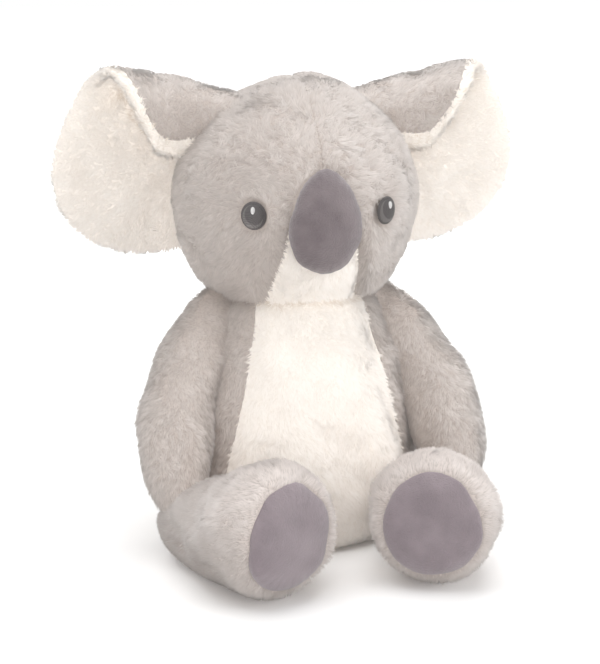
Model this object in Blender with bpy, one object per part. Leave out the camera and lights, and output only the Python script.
"""A plush koala that sits with its legs forward, sewn from pile fabric over stuffing.

Metres, +Z up. The koala faces -Y and its own left side is +X. The origin is the middle of the seat, on
the floor. Each stuffed form is a shell of pile fabric, as thick as its pile stands, over its stuffing.
"""

import math

import bmesh
import bpy
from mathutils import Matrix, Vector

# Fabric and fit
PILE = 0.006  # backing and pile of the fur fabric together
GAP = 0.0003  # between neighbouring pieces
FLAT_DEPTH = 0.0005  # how far the floor flattens what rests on it
OVERRUN = 0.04  # how far a cutter runs past what it cuts

# Torso
TORSO_WIDTH = 0.122
TORSO_DEPTH = 0.110
NECK_HEIGHT = 0.1075
TORSO_CROWN = NECK_HEIGHT + 0.0175  # where the round of the shoulders would close above the neck
TORSO_FULLNESS = 2.6
SEAT_FULLNESS = 8.0
TORSO_TAPER_SHARE = 0.33
BELLY_TOP_WIDTH = 0.050
BELLY_FOOT_WIDTH = 0.100
SEAT_SEAM_SETBACK = 0.016  # the seam across the seat lies this far behind its middle
NECK_SEAM_FORWARD = 0.006
POUCH_HEIGHT = 0.026

# Head
HEAD_WIDTH = 0.117
HEAD_DEPTH = 0.108
HEAD_HEIGHT = 0.113
HEAD_CENTRE_HEIGHT = NECK_HEIGHT + 0.047
HEAD_SETBACK = 0.004
CHEEK_SHARE = 0.03
MUZZLE_TOP_WIDTH = 0.031
MUZZLE_CHIN_WIDTH = 0.044
MUZZLE_TOP = HEAD_CENTRE_HEIGHT - 0.0075
CHIN_SEAM_FORWARD = 0.020  # the seam under the chin lies this far in front of the neck
NOSE_WIDTH = 0.0315
NOSE_HEIGHT = 0.0455
NOSE_CENTRE_HEIGHT = HEAD_CENTRE_HEIGHT - 0.004
NOSE_PROUD = 0.007
NOSE_TAPER_SHARE = 0.18
EYE_WIDTH = 0.0125
EYE_HEIGHT = 0.0130
EYE_SPACING = 0.062
EYE_CENTRE_HEIGHT = HEAD_CENTRE_HEIGHT - 0.0015
EYE_PROUD = 0.0006
PAD_FULLNESS = 4.0  # nose, eyes and soles: how square the edge of a sewn-in pad is
PAD_CUT_DEPTH = 0.012  # how far the opening for such a pad is cut into the form
HEAD_TURN = 20  # degrees each way

# Ears
EAR_LOW_ANGLE = -18  # where the root seam starts and ends on the side of the head, in degrees
EAR_HIGH_ANGLE = 40
EAR_LOW_SETBACK = 0.0235
EAR_HIGH_SETBACK = 0.0135
EAR_CENTRE_OUT = 0.0195
EAR_REACH = 0.043
EAR_DROP = 0.0405
EAR_RISE = 0.055
EAR_FLAP = 0.0285
EAR_FLAP_END_SHARE = 1.0
EAR_FOLD = 0.0325
EAR_CURL_ROOT = 0.008
EAR_CURL_TIP = 0.0167
EAR_CUP = 0.007
EAR_THICKNESS = 0.011
EAR_RIM_SHARE = 0.45
EAR_LAYER_GAP = 0.0008
EAR_CLEARANCE = 0.0008  # kept from the head, which the ear swings past
EAR_BACK_SWING = 25  # degrees
EAR_FRONT_SWING = 8

# Arms
SHOULDER_OUT = 0.028
SHOULDER_HEIGHT = NECK_HEIGHT + 0.008
SHOULDER_SETBACK = 0.004
ELBOW_OUT = 0.059
ELBOW_HEIGHT = 0.069
ELBOW_FORWARD = 0.021
HAND_OUT = 0.063
HAND_HEIGHT = 0.021
HAND_FORWARD = 0.044
ARM_TOP_THICKNESS = 0.034
ARM_HAND_THICKNESS = 0.041
ARM_FULLNESS = 2.5
ARM_HINGE_OUT = 0.031
ARM_LIFT = 20  # degrees
ARM_CLEARANCE = 0.0010  # kept from the head and the leg, which move past it

# Legs
HIP_OUT = 0.067
HIP_FORWARD = 0.020
SOLE_OUT = 0.0285
SOLE_FORWARD = 0.110
HIP_THICKNESS = 0.027
HIP_FULLNESS = 2.8
FOOT_WIDTH = 0.062
FOOT_HEIGHT = 0.062
FOOT_FULLNESS = 4.0
ANKLE_SHARE = 0.8  # the leg swells up to here
SOLE_WIDTH = 0.043
SOLE_HEIGHT = 0.046
SOLE_PROUD = 0.0008
LEG_SPLAY = 10  # degrees

SWEEP_STEPS = 3  # how many turned copies stand in for a swept form

# Facets round and along each form
TORSO_FACETS = (22, 13)
HEAD_FACETS = (24, 14)
ARM_FACETS = (16, 11)
LEG_FACETS = (18, 12)
LIMB_INSIDE_FACETS = (12, 9)
NOSE_FACETS = (20, 9)
EYE_FACETS = (12, 6)
SOLE_FACETS = (20, 7)
EAR_FACETS = (8, 13)  # across and along the flat pattern
POLE_SHARE = 1e-4  # a point nearer the poles than this is on them

SIDES = {"left": 1, "right": -1}

PARTS = bpy.data.collections.new("plush_koala")
CUTTERS = bpy.data.collections.new("cutters")


def clear_scene():
    """Removes whatever the scene holds and adds the two collections."""
    for obj in list(bpy.data.objects):
        bpy.data.objects.remove(obj, do_unlink=True)
    bpy.context.scene.collection.children.link(PARTS)
    bpy.context.scene.collection.children.link(CUTTERS)


def material(name, colour, roughness=0.9):
    """A plain material of one colour."""
    made = bpy.data.materials.new(name)
    made.use_nodes = True
    shader = made.node_tree.nodes["Principled BSDF"]
    shader.inputs["Base Color"].default_value = (*colour, 1)
    shader.inputs["Roughness"].default_value = roughness
    shader.inputs["Metallic"].default_value = 0
    return made


GREY_PLUSH = material("grey_plush", (0.55, 0.50, 0.48))
CREAM_PLUSH = material("cream_plush", (0.91, 0.87, 0.81))
NOSE_SUEDE = material("nose_suede", (0.19, 0.16, 0.18), 0.8)
SOLE_SUEDE = material("sole_suede", (0.24, 0.20, 0.23), 0.8)
EYE_THREAD = material("eye_thread", (0.07, 0.07, 0.075), 0.6)
POLYESTER_FIBRE = material("polyester_fibre", (0.85, 0.85, 0.83))
PELLET_CLOTH = material("pellet_cloth", (0.7, 0.68, 0.62), 0.8)


def add_object(name, mesh, finish=None):
    """Links a mesh as a part, or as a cutter where it has no finish."""
    obj = bpy.data.objects.new(name, mesh)
    if finish is None:
        obj.hide_render = True
        obj.display_type = "WIRE"
        CUTTERS.objects.link(obj)
    else:
        mesh.materials.append(finish)
        mesh.shade_smooth()
        PARTS.objects.link(obj)
    return obj


def turn_outward(bm):
    """Turns the faces round where a mirrored form would be inside out."""
    if bm.calc_volume(signed=True) < 0:
        bmesh.ops.reverse_faces(bm, faces=bm.faces)


def cut_flat(bm, height, sign):
    """Cuts off what lies above a height, or below it where the sign is -1, and closes the cut."""
    everything = bm.verts[:] + bm.edges[:] + bm.faces[:]
    cut = bmesh.ops.bisect_plane(
        bm, geom=everything, plane_co=(0, 0, height), plane_no=(0, 0, sign), clear_outer=True
    )
    rim = [edge for edge in cut["geom_cut"] if isinstance(edge, bmesh.types.BMEdge)]
    if rim:
        bmesh.ops.edgeloop_fill(bm, edges=rim)
        bmesh.ops.recalc_face_normals(bm, faces=bm.faces)


def soft_form(name, place, facets, grow=0.0, lowest=None, highest=None):
    """A closed form: every point of a ball of radius 1 goes where place says, then out by grow.

    What would lie below lowest or above highest is cut off flat there.
    """
    bm = bmesh.new()
    around, along = facets
    half_step = Matrix.Rotation(math.pi / around, 4, "Z")  # so that no edge runs along the middle plane
    bmesh.ops.create_uvsphere(bm, u_segments=around, v_segments=along, radius=1, matrix=half_step)
    for vert in bm.verts:
        vert.co = place(*vert.co)
    bmesh.ops.triangulate(bm, faces=bm.faces[:], quad_method="FIXED")
    turn_outward(bm)
    bm.normal_update()
    moves = [(vert, vert.normal * grow) for vert in bm.verts]
    for vert, move in moves:
        vert.co += move
    if lowest is not None:
        cut_flat(bm, lowest, -1)
    if highest is not None:
        cut_flat(bm, highest, 1)
    mesh = bpy.data.meshes.new(name)
    bm.to_mesh(mesh)
    bm.free()
    return mesh


def seam_block(name, widths, backs, heights, ends, front, grow=0.0):
    """A cutter in front of a seam: centred on X = 0, with two widths and two backs at two heights.

    It reaches from one end height to the other, and grow makes it larger at its sides, back and top.
    """
    bm = bmesh.new()
    bmesh.ops.create_cube(bm, size=2)
    for vert in bm.verts:
        height = ends[1] + grow if vert.co.z > 0 else ends[0]
        share = (height - heights[0]) / (heights[1] - heights[0])
        half = mixed(widths[0], widths[1], share) / 2 + grow
        back = mixed(backs[0], backs[1], share) + grow
        vert.co = Vector((vert.co.x * half, back if vert.co.y > 0 else front, height))
    mesh = bpy.data.meshes.new(name)
    bm.to_mesh(mesh)
    bm.free()
    return add_object(name, mesh)


def boolean(piece, operation, other):
    """Adds one Boolean modifier, with one object or a collection of them."""
    modifier = piece.modifiers.new(f"{operation.lower()}_{other.name}", "BOOLEAN")
    modifier.operation = operation
    modifier.solver = "EXACT"
    if isinstance(other, bpy.types.Collection):
        modifier.operand_type = "COLLECTION"
        modifier.collection = other
    else:
        modifier.object = other


def cutter_set(name, cutters):
    """Puts cutters that work together in a collection of their own."""
    together = bpy.data.collections.new(name)
    CUTTERS.children.link(together)
    for cutter in cutters:
        CUTTERS.objects.unlink(cutter)
        together.objects.link(cutter)
    return together


def swept(name, mesh, pivot, axis, angles):
    """Copies of a neighbour's form, turned as the piece that swings past it sees them."""
    made = []
    for angle in angles:
        cutter = add_object(f"{name}_{len(made)}", mesh)
        turn = Matrix.Rotation(math.radians(-angle), 4, axis)
        cutter.matrix_world = Matrix.Translation(pivot) @ turn @ Matrix.Translation(-pivot)
        made.append(cutter)
    return made


def pivot(name, place, parent=None):
    """An empty on a joint's axis, which the pieces that move together hang on."""
    empty = bpy.data.objects.new(f"pivot_{name}", None)
    empty.location = place
    PARTS.objects.link(empty)
    if parent is not None:
        hang_on(parent, empty)
    return empty


def hang_on(parent, *pieces):
    """Parents pieces to an empty and leaves them where they are."""
    for piece in pieces:
        piece.parent = parent
        piece.matrix_parent_inverse = Matrix.Translation(-parent.location)


def blunted(x, y, z, fullness):
    """A point of the ball with the poles along Z made blunter, as where a form is well filled."""
    ring = math.hypot(x, y)
    reach = max(0.0, 1 - abs(z) ** fullness) ** (1 / fullness)
    return (x / ring * reach, y / ring * reach) if ring > POLE_SHARE else (0.0, 0.0)


def bend(start, middle, end, share):
    """The point and direction at a share of a curve that passes through three points."""
    control = 2 * middle - (start + end) / 2
    rest = 1 - share
    point = rest * rest * start + 2 * rest * share * control + share * share * end
    along = 2 * rest * (control - start) + 2 * share * (end - control)
    return point, along.normalized()


def mixed(first, last, share):
    """The value at a share of the way between two."""
    return first + (last - first) * share


# Torso


def torso_point(x, y, z):
    """Pear shaped: widest low down, drawn in at the neck, and flat where it sits."""
    x, y = blunted(x, y, z, TORSO_FULLNESS if z > 0 else SEAT_FULLNESS)
    height = (z + 1) / 2
    taper = 1 - TORSO_TAPER_SHARE * height * height
    return Vector(
        (
            x * taper * TORSO_WIDTH / 2,
            y * taper * TORSO_DEPTH / 2,
            mixed(-FLAT_DEPTH, TORSO_CROWN, height),
        )
    )


def torso_form(name, grow, lowest, highest):
    """The torso's form, made larger by grow."""
    return soft_form(name, torso_point, TORSO_FACETS, grow, lowest, highest)


def belly_block(name, grow=0.0):
    """What lies inside the belly panel's seams."""
    return seam_block(
        name,
        (BELLY_FOOT_WIDTH, BELLY_TOP_WIDTH),
        (SEAT_SEAM_SETBACK, -NECK_SEAM_FORWARD),
        (0, NECK_HEIGHT),
        (-PILE, NECK_HEIGHT + PILE),
        -TORSO_DEPTH,
        grow,
    )


def add_torso():
    """The belly panel, the two back panels, the stuffing and the pouch of pellets under it."""
    neck = NECK_HEIGHT - GAP
    hollow = add_object("torso_hollow", torso_form("torso_hollow", -PILE, PILE, neck + PILE))
    panel = add_object("belly_panel", torso_form("belly_panel", 0, 0, neck), CREAM_PLUSH)
    boolean(panel, "DIFFERENCE", hollow)
    boolean(panel, "INTERSECT", belly_block("belly_outline"))
    past_belly = belly_block("belly_opening", GAP)
    for side, sign in SIDES.items():
        panel = add_object(f"back_panel_{side}", torso_form("back_panel", 0, 0, neck), GREY_PLUSH)
        boolean(panel, "DIFFERENCE", hollow)
        boolean(panel, "DIFFERENCE", past_belly)
        boolean(panel, "INTERSECT", half_space(f"torso_{side}", sign))
    inside = -PILE - GAP
    stuffing = torso_form("torso_stuffing", inside, POUCH_HEIGHT + GAP, neck)
    add_object("torso_stuffing", stuffing, POLYESTER_FIBRE)
    pouch = torso_form("pellet_pouch", inside, PILE + GAP, POUCH_HEIGHT)
    add_object("pellet_pouch", pouch, PELLET_CLOTH)


def half_space(name, sign):
    """A block over one side of the middle plane, kept half a gap away from it."""
    bm = bmesh.new()
    bmesh.ops.create_cube(bm, size=2)
    reach = NECK_HEIGHT + HEAD_HEIGHT + TORSO_WIDTH
    for vert in bm.verts:
        across = reach if vert.co.x > 0 else GAP / 2
        vert.co = Vector((sign * across, vert.co.y * reach, vert.co.z * reach))
    turn_outward(bm)
    mesh = bpy.data.meshes.new(name)
    bm.to_mesh(mesh)
    bm.free()
    return add_object(f"{name}_half", mesh)


# Head

HEAD_CENTRE = Vector((0, HEAD_SETBACK, HEAD_CENTRE_HEIGHT))


def head_half_width(z):
    """Half the head's width at a share of its half height, fuller at the cheeks."""
    return HEAD_WIDTH / 2 * (1 - CHEEK_SHARE * z)


def head_point(x, y, z):
    """Nearly a ball, a little fuller at the cheeks."""
    return HEAD_CENTRE + Vector((x * head_half_width(z), y * HEAD_DEPTH / 2, z * HEAD_HEIGHT / 2))


def head_front(across, height):
    """The point of the head's front surface at this distance across and this height."""
    z = (height - HEAD_CENTRE_HEIGHT) / (HEAD_HEIGHT / 2)
    x = across / head_half_width(z)
    return head_point(x, -math.sqrt(1 - x * x - z * z), z)


def head_out(point):
    """The direction square out of the head at a point of its surface."""
    from_centre = point - HEAD_CENTRE
    half_width = head_half_width(from_centre.z / (HEAD_HEIGHT / 2))
    slope = (
        from_centre.x / half_width**2,
        from_centre.y / (HEAD_DEPTH / 2) ** 2,
        from_centre.z / (HEAD_HEIGHT / 2) ** 2,
    )
    return Vector(slope).normalized()


def head_form(name, grow, lowest):
    """The head's form, made larger by grow."""
    return soft_form(name, head_point, HEAD_FACETS, grow, lowest)


def muzzle_block(name, grow=0.0):
    """What lies inside the muzzle panel's seams."""
    return seam_block(
        name,
        (MUZZLE_CHIN_WIDTH, MUZZLE_TOP_WIDTH),
        (-CHIN_SEAM_FORWARD, -CHIN_SEAM_FORWARD),
        (NECK_HEIGHT, MUZZLE_TOP),
        (NECK_HEIGHT - PILE, MUZZLE_TOP),
        -HEAD_DEPTH,
        grow,
    )


def pad_place(x, y, z, deep, proud):
    """Shares across and up a pad that is sewn into the pile, and the height over the pile there.

    The widest part keeps its height however deep the pad goes.
    """
    x, y = blunted(x, y, z, PAD_FULLNESS)
    widest = (proud - PILE) / 2
    return x, y, mixed(widest, proud, z) if z > 0 else mixed(widest, -deep, -z)


def nose_point(deep):
    """The place function of an egg, wider below, that follows the head's surface and stands proud."""

    def place(x, y, z):
        x, y, outward = pad_place(x, y, z, deep, NOSE_PROUD)
        across = x * NOSE_WIDTH / 2 * (1 - NOSE_TAPER_SHARE * y)
        on_head = head_front(across, NOSE_CENTRE_HEIGHT + y * NOSE_HEIGHT / 2)
        return on_head + head_out(on_head) * outward

    return place


def eye_point(sign, deep):
    """The place function of a stitched eye, square to the head where it lies."""
    centre = head_front(sign * EYE_SPACING / 2, EYE_CENTRE_HEIGHT)
    out = head_out(centre)
    across = Vector((0, 0, 1)).cross(out).normalized()
    up = out.cross(across)

    def place(x, y, z):
        x, y, outward = pad_place(x, y, z, deep, EYE_PROUD)
        return centre + across * x * EYE_WIDTH / 2 + up * y * EYE_HEIGHT / 2 + out * outward

    return place


def add_head(neck):
    """Two side panels, the muzzle, the padded nose, the stitched eyes and the stuffing."""
    hollow = add_object("head_hollow", head_form("head_hollow", -PILE, NECK_HEIGHT - PILE))
    nose_cut = soft_form("nose_cut", nose_point(PAD_CUT_DEPTH), NOSE_FACETS, GAP)
    nose_cut = add_object("nose_cut", nose_cut)
    panel = add_object("muzzle_panel", head_form("muzzle_panel", 0, NECK_HEIGHT), CREAM_PLUSH)
    boolean(panel, "DIFFERENCE", hollow)
    boolean(panel, "INTERSECT", muzzle_block("muzzle_outline"))
    boolean(panel, "DIFFERENCE", nose_cut)
    nose = soft_form("nose_pad", nose_point(PILE), NOSE_FACETS)
    hang_on(neck, panel, add_object("nose_pad", nose, NOSE_SUEDE))
    past_muzzle = muzzle_block("muzzle_opening", GAP)
    for side, sign in SIDES.items():
        eye_cut = soft_form("eye_cut", eye_point(sign, PAD_CUT_DEPTH), EYE_FACETS, GAP)
        eye_cut = add_object(f"eye_cut_{side}", eye_cut)
        eye = soft_form("eye", eye_point(sign, PILE), EYE_FACETS)
        eye = add_object(f"eye_{side}", eye, EYE_THREAD)
        panel = add_object(f"head_panel_{side}", head_form("head_panel", 0, NECK_HEIGHT), GREY_PLUSH)
        boolean(panel, "DIFFERENCE", hollow)
        boolean(panel, "DIFFERENCE", past_muzzle)
        boolean(panel, "INTERSECT", half_space(f"head_{side}", sign))
        boolean(panel, "DIFFERENCE", nose_cut)
        boolean(panel, "DIFFERENCE", eye_cut)
        hang_on(neck, panel, eye)
    stuffing = head_form("head_stuffing", -PILE - GAP, NECK_HEIGHT)
    hang_on(neck, add_object("head_stuffing", stuffing, POLYESTER_FIBRE))


# Ears


def ear_root(angle, setback, sign):
    """A point of the ear's root seam, on the side of the head."""
    share = setback / (HEAD_DEPTH / 2)
    on_side = math.sqrt(1 - share * share)
    x = math.cos(math.radians(angle)) * on_side
    z = math.sin(math.radians(angle)) * on_side
    return head_point(sign * x, share, z)


def ear_frame(sign):
    """The middle of the root seam and the ear's directions out, forward and up along the seam."""
    low = ear_root(EAR_LOW_ANGLE, EAR_LOW_SETBACK, sign)
    high = ear_root(EAR_HIGH_ANGLE, EAR_HIGH_SETBACK, sign)
    up = (high - low).normalized()
    out = Vector((sign, 0, 0))
    out = (out - up * out.dot(up)).normalized()
    forward = up.cross(out) * -sign
    return (low + high) / 2, out, forward, up


def ear_layer(x, z, sign):
    """The ear's middle layer at a place of its flat pattern, and the direction out of its front."""
    root, out, forward, up = ear_frame(sign)
    flap = EAR_FLAP * min(1.0, max(0.0, EAR_FLAP_END_SHARE - x))
    along = z * (EAR_RISE + flap if z > 0 else EAR_DROP)
    radius = mixed(EAR_CURL_ROOT, EAR_CURL_TIP, ((x + 1) / 2) ** 2)
    past = max(0.0, along - EAR_FOLD)
    turn = min(math.pi, past / radius)
    straight = past - turn * radius
    rise = min(along, EAR_FOLD) + radius * math.sin(turn) - straight
    ahead = radius * (1 - math.cos(turn)) + EAR_CUP * x * x
    centre = root + out * (EAR_CENTRE_OUT + x * EAR_REACH) + up * rise + forward * ahead
    return centre, forward * math.cos(turn) - up * math.sin(turn)


def ear_panel(name, sign, front):
    """One layer of the ear: a curled sheet, plump in the middle and thin at the seam round its rim."""
    bm = bmesh.new()
    across, along = EAR_FACETS
    bmesh.ops.create_grid(bm, x_segments=across, y_segments=along, size=1)
    outer = bmesh.ops.extrude_face_region(bm, geom=bm.faces[:])["geom"]
    outer = {vert for vert in outer if isinstance(vert, bmesh.types.BMVert)}
    for vert in bm.verts:
        x = vert.co.x * math.sqrt(1 - vert.co.y**2 / 2)
        z = vert.co.y * math.sqrt(1 - vert.co.x**2 / 2)
        centre, facing = ear_layer(x, z, sign)
        plump = mixed(1, EAR_RIM_SHARE, (x * x + z * z) ** 2) if vert in outer else 0
        height = EAR_LAYER_GAP / 2 + plump * EAR_THICKNESS / 2
        vert.co = centre + facing * (height if front else -height)
    bmesh.ops.triangulate(bm, faces=bm.faces[:], quad_method="FIXED")
    bmesh.ops.recalc_face_normals(bm, faces=bm.faces)
    turn_outward(bm)
    mesh = bpy.data.meshes.new(name)
    bm.to_mesh(mesh)
    bm.free()
    return mesh


def add_ears(neck):
    """A cream front and a grey back for each ear, cut where they meet the head."""
    head = head_form("ear_seat", EAR_CLEARANCE, NECK_HEIGHT)
    angles = (-EAR_FRONT_SWING, 0, EAR_BACK_SWING / 2, EAR_BACK_SWING)
    for side, sign in SIDES.items():
        root, _, _, up = ear_frame(sign)
        ear = pivot(f"ear_{side}", root, neck)
        seat = cutter_set(f"ear_seat_{side}", swept(f"ear_seat_{side}", head, root, up * sign, angles))
        for layer, finish in (("front", CREAM_PLUSH), ("back", GREY_PLUSH)):
            mesh = ear_panel(f"ear_{layer}", sign, layer == "front")
            panel = add_object(f"ear_{layer}_{side}", mesh, finish)
            boolean(panel, "DIFFERENCE", seat)
            hang_on(ear, panel)


# Arms


def arm_point(sign):
    """The place function of one arm: fat, bent round the belly, with a round hand."""
    shoulder = Vector((sign * SHOULDER_OUT, SHOULDER_SETBACK, SHOULDER_HEIGHT))
    elbow = Vector((sign * ELBOW_OUT, -ELBOW_FORWARD, ELBOW_HEIGHT))
    hand = Vector((sign * HAND_OUT, -HAND_FORWARD, HAND_HEIGHT))

    def place(x, y, z):
        x, y = blunted(x, y, z, ARM_FULLNESS)
        share = (1 - z) / 2
        centre, along = bend(shoulder, elbow, hand, share)
        deep = Vector((0, 1, 0)) - along * along.y
        deep.normalize()
        across = along.cross(deep)
        thick = mixed(ARM_TOP_THICKNESS, ARM_HAND_THICKNESS, share) / 2
        return centre + across * x * thick + deep * y * thick

    return place


def arm_hinge(sign):
    """A point on the arm's hinge, over the middle of its shoulder seam."""
    return Vector((sign * ARM_HINGE_OUT, 0, NECK_HEIGHT))


def arm_seats(side, sign):
    """What the arm is cut by: the torso, the head as it passes when the arm lifts, and the leg as it splays."""
    seats = [add_object(f"arm_seat_{side}", torso_form("arm_seat", GAP, -OVERRUN, NECK_HEIGHT))]
    head = head_form("arm_top", ARM_CLEARANCE, NECK_HEIGHT - ARM_CLEARANCE)
    lifts = [ARM_LIFT * step / SWEEP_STEPS for step in range(SWEEP_STEPS + 1)]
    seats += swept(f"arm_top_{side}", head, arm_hinge(sign), Vector((0, -sign, 0)), lifts)
    leg = soft_form("arm_rest", leg_point(sign), LEG_FACETS, ARM_CLEARANCE, 0)
    splays = [-LEG_SPLAY * step / SWEEP_STEPS for step in range(SWEEP_STEPS + 1)]
    seats += swept(f"arm_rest_{side}", leg, leg_ends(sign)[0], Vector((0, 0, sign)), splays)
    return cutter_set(f"arm_seats_{side}", seats)


def add_arms():
    """A fabric skin and its stuffing for each arm, cut by the torso, the head and the leg."""
    for side, sign in SIDES.items():
        place = arm_point(sign)
        seats = arm_seats(side, sign)
        hollow = soft_form("arm_hollow", place, LIMB_INSIDE_FACETS, -PILE)
        hollow = add_object(f"arm_hollow_{side}", hollow)
        skin = add_object(f"arm_{side}", soft_form("arm", place, ARM_FACETS), GREY_PLUSH)
        boolean(skin, "DIFFERENCE", hollow)
        boolean(skin, "DIFFERENCE", seats)
        stuffing = soft_form("arm_stuffing", place, LIMB_INSIDE_FACETS, -PILE - GAP)
        stuffing = add_object(f"arm_stuffing_{side}", stuffing, POLYESTER_FIBRE)
        boolean(stuffing, "DIFFERENCE", seats)
        hang_on(pivot(f"shoulder_{side}", arm_hinge(sign)), skin, stuffing)


# Legs


def leg_ends(sign):
    """The hip's and the sole's centres, over the floor points where they rest."""
    hip = Vector((sign * HIP_OUT, -HIP_FORWARD, 0))
    sole = Vector((sign * SOLE_OUT, -SOLE_FORWARD, 0))
    return hip, sole


def leg_point(sign):
    """The place function of one leg: thin at the hip, fat at the foot and blunt at the sole."""
    hip, sole = leg_ends(sign)
    along = (sole - hip).normalized()
    across = along.cross(Vector((0, 0, 1)))

    def place(x, y, z):
        x, y = blunted(x, y, z, FOOT_FULLNESS if z > 0 else HIP_FULLNESS)
        share = (z + 1) / 2
        swell = min(1, share / ANKLE_SHARE)
        wide = mixed(HIP_THICKNESS, FOOT_WIDTH, swell) / 2
        tall = mixed(HIP_THICKNESS, FOOT_HEIGHT, swell) / 2
        centre = hip + (sole - hip) * share
        return centre + across * x * wide + Vector((0, 0, tall - FLAT_DEPTH + y * tall))

    return place


def sole_point(sign, deep):
    """The place function of one sole pad: a suede oval let into the blunt end of the foot."""
    hip, sole = leg_ends(sign)
    along = (sole - hip).normalized()
    across = along.cross(Vector((0, 0, 1)))
    half_length = (sole - hip).length / 2

    def place(x, y, z):
        x, y, outward = pad_place(x, y, z, deep, SOLE_PROUD)
        wide, tall = x * SOLE_WIDTH / FOOT_WIDTH, y * SOLE_HEIGHT / FOOT_HEIGHT
        rim = math.hypot(wide, tall) ** FOOT_FULLNESS
        set_back = half_length * (1 - (1 - rim) ** (1 / FOOT_FULLNESS))
        centre = sole + Vector((0, 0, FOOT_HEIGHT / 2 - FLAT_DEPTH + y * SOLE_HEIGHT / 2))
        return centre + across * x * SOLE_WIDTH / 2 + along * (outward - set_back)

    return place


def add_legs():
    """A fabric skin, a sole pad and the stuffing for each leg, cut by the torso."""
    torso = torso_form("leg_seat", GAP, -OVERRUN, NECK_HEIGHT)
    for side, sign in SIDES.items():
        place = leg_point(sign)
        seat = add_object(f"leg_seat_{side}", torso)
        hollow = soft_form("leg_hollow", place, LIMB_INSIDE_FACETS, -PILE, PILE)
        hollow = add_object(f"leg_hollow_{side}", hollow)
        sole_cut = soft_form("sole_cut", sole_point(sign, PAD_CUT_DEPTH), SOLE_FACETS, GAP)
        sole_cut = add_object(f"sole_cut_{side}", sole_cut)
        skin = add_object(f"leg_{side}", soft_form("leg", place, LEG_FACETS, 0, 0), GREY_PLUSH)
        boolean(skin, "DIFFERENCE", hollow)
        boolean(skin, "DIFFERENCE", seat)
        boolean(skin, "DIFFERENCE", sole_cut)
        sole = soft_form("sole_pad", sole_point(sign, PILE), SOLE_FACETS)
        sole = add_object(f"sole_pad_{side}", sole, SOLE_SUEDE)
        stuffing = soft_form("leg_stuffing", place, LIMB_INSIDE_FACETS, -PILE - GAP, PILE + GAP)
        stuffing = add_object(f"leg_stuffing_{side}", stuffing, POLYESTER_FIBRE)
        boolean(stuffing, "DIFFERENCE", seat)
        hang_on(pivot(f"hip_{side}", leg_ends(sign)[0]), skin, sole, stuffing)


def main():
    clear_scene()
    add_torso()
    neck = pivot("neck", Vector((0, HEAD_SETBACK, NECK_HEIGHT)))
    add_head(neck)
    add_ears(neck)
    add_arms()
    add_legs()


main()
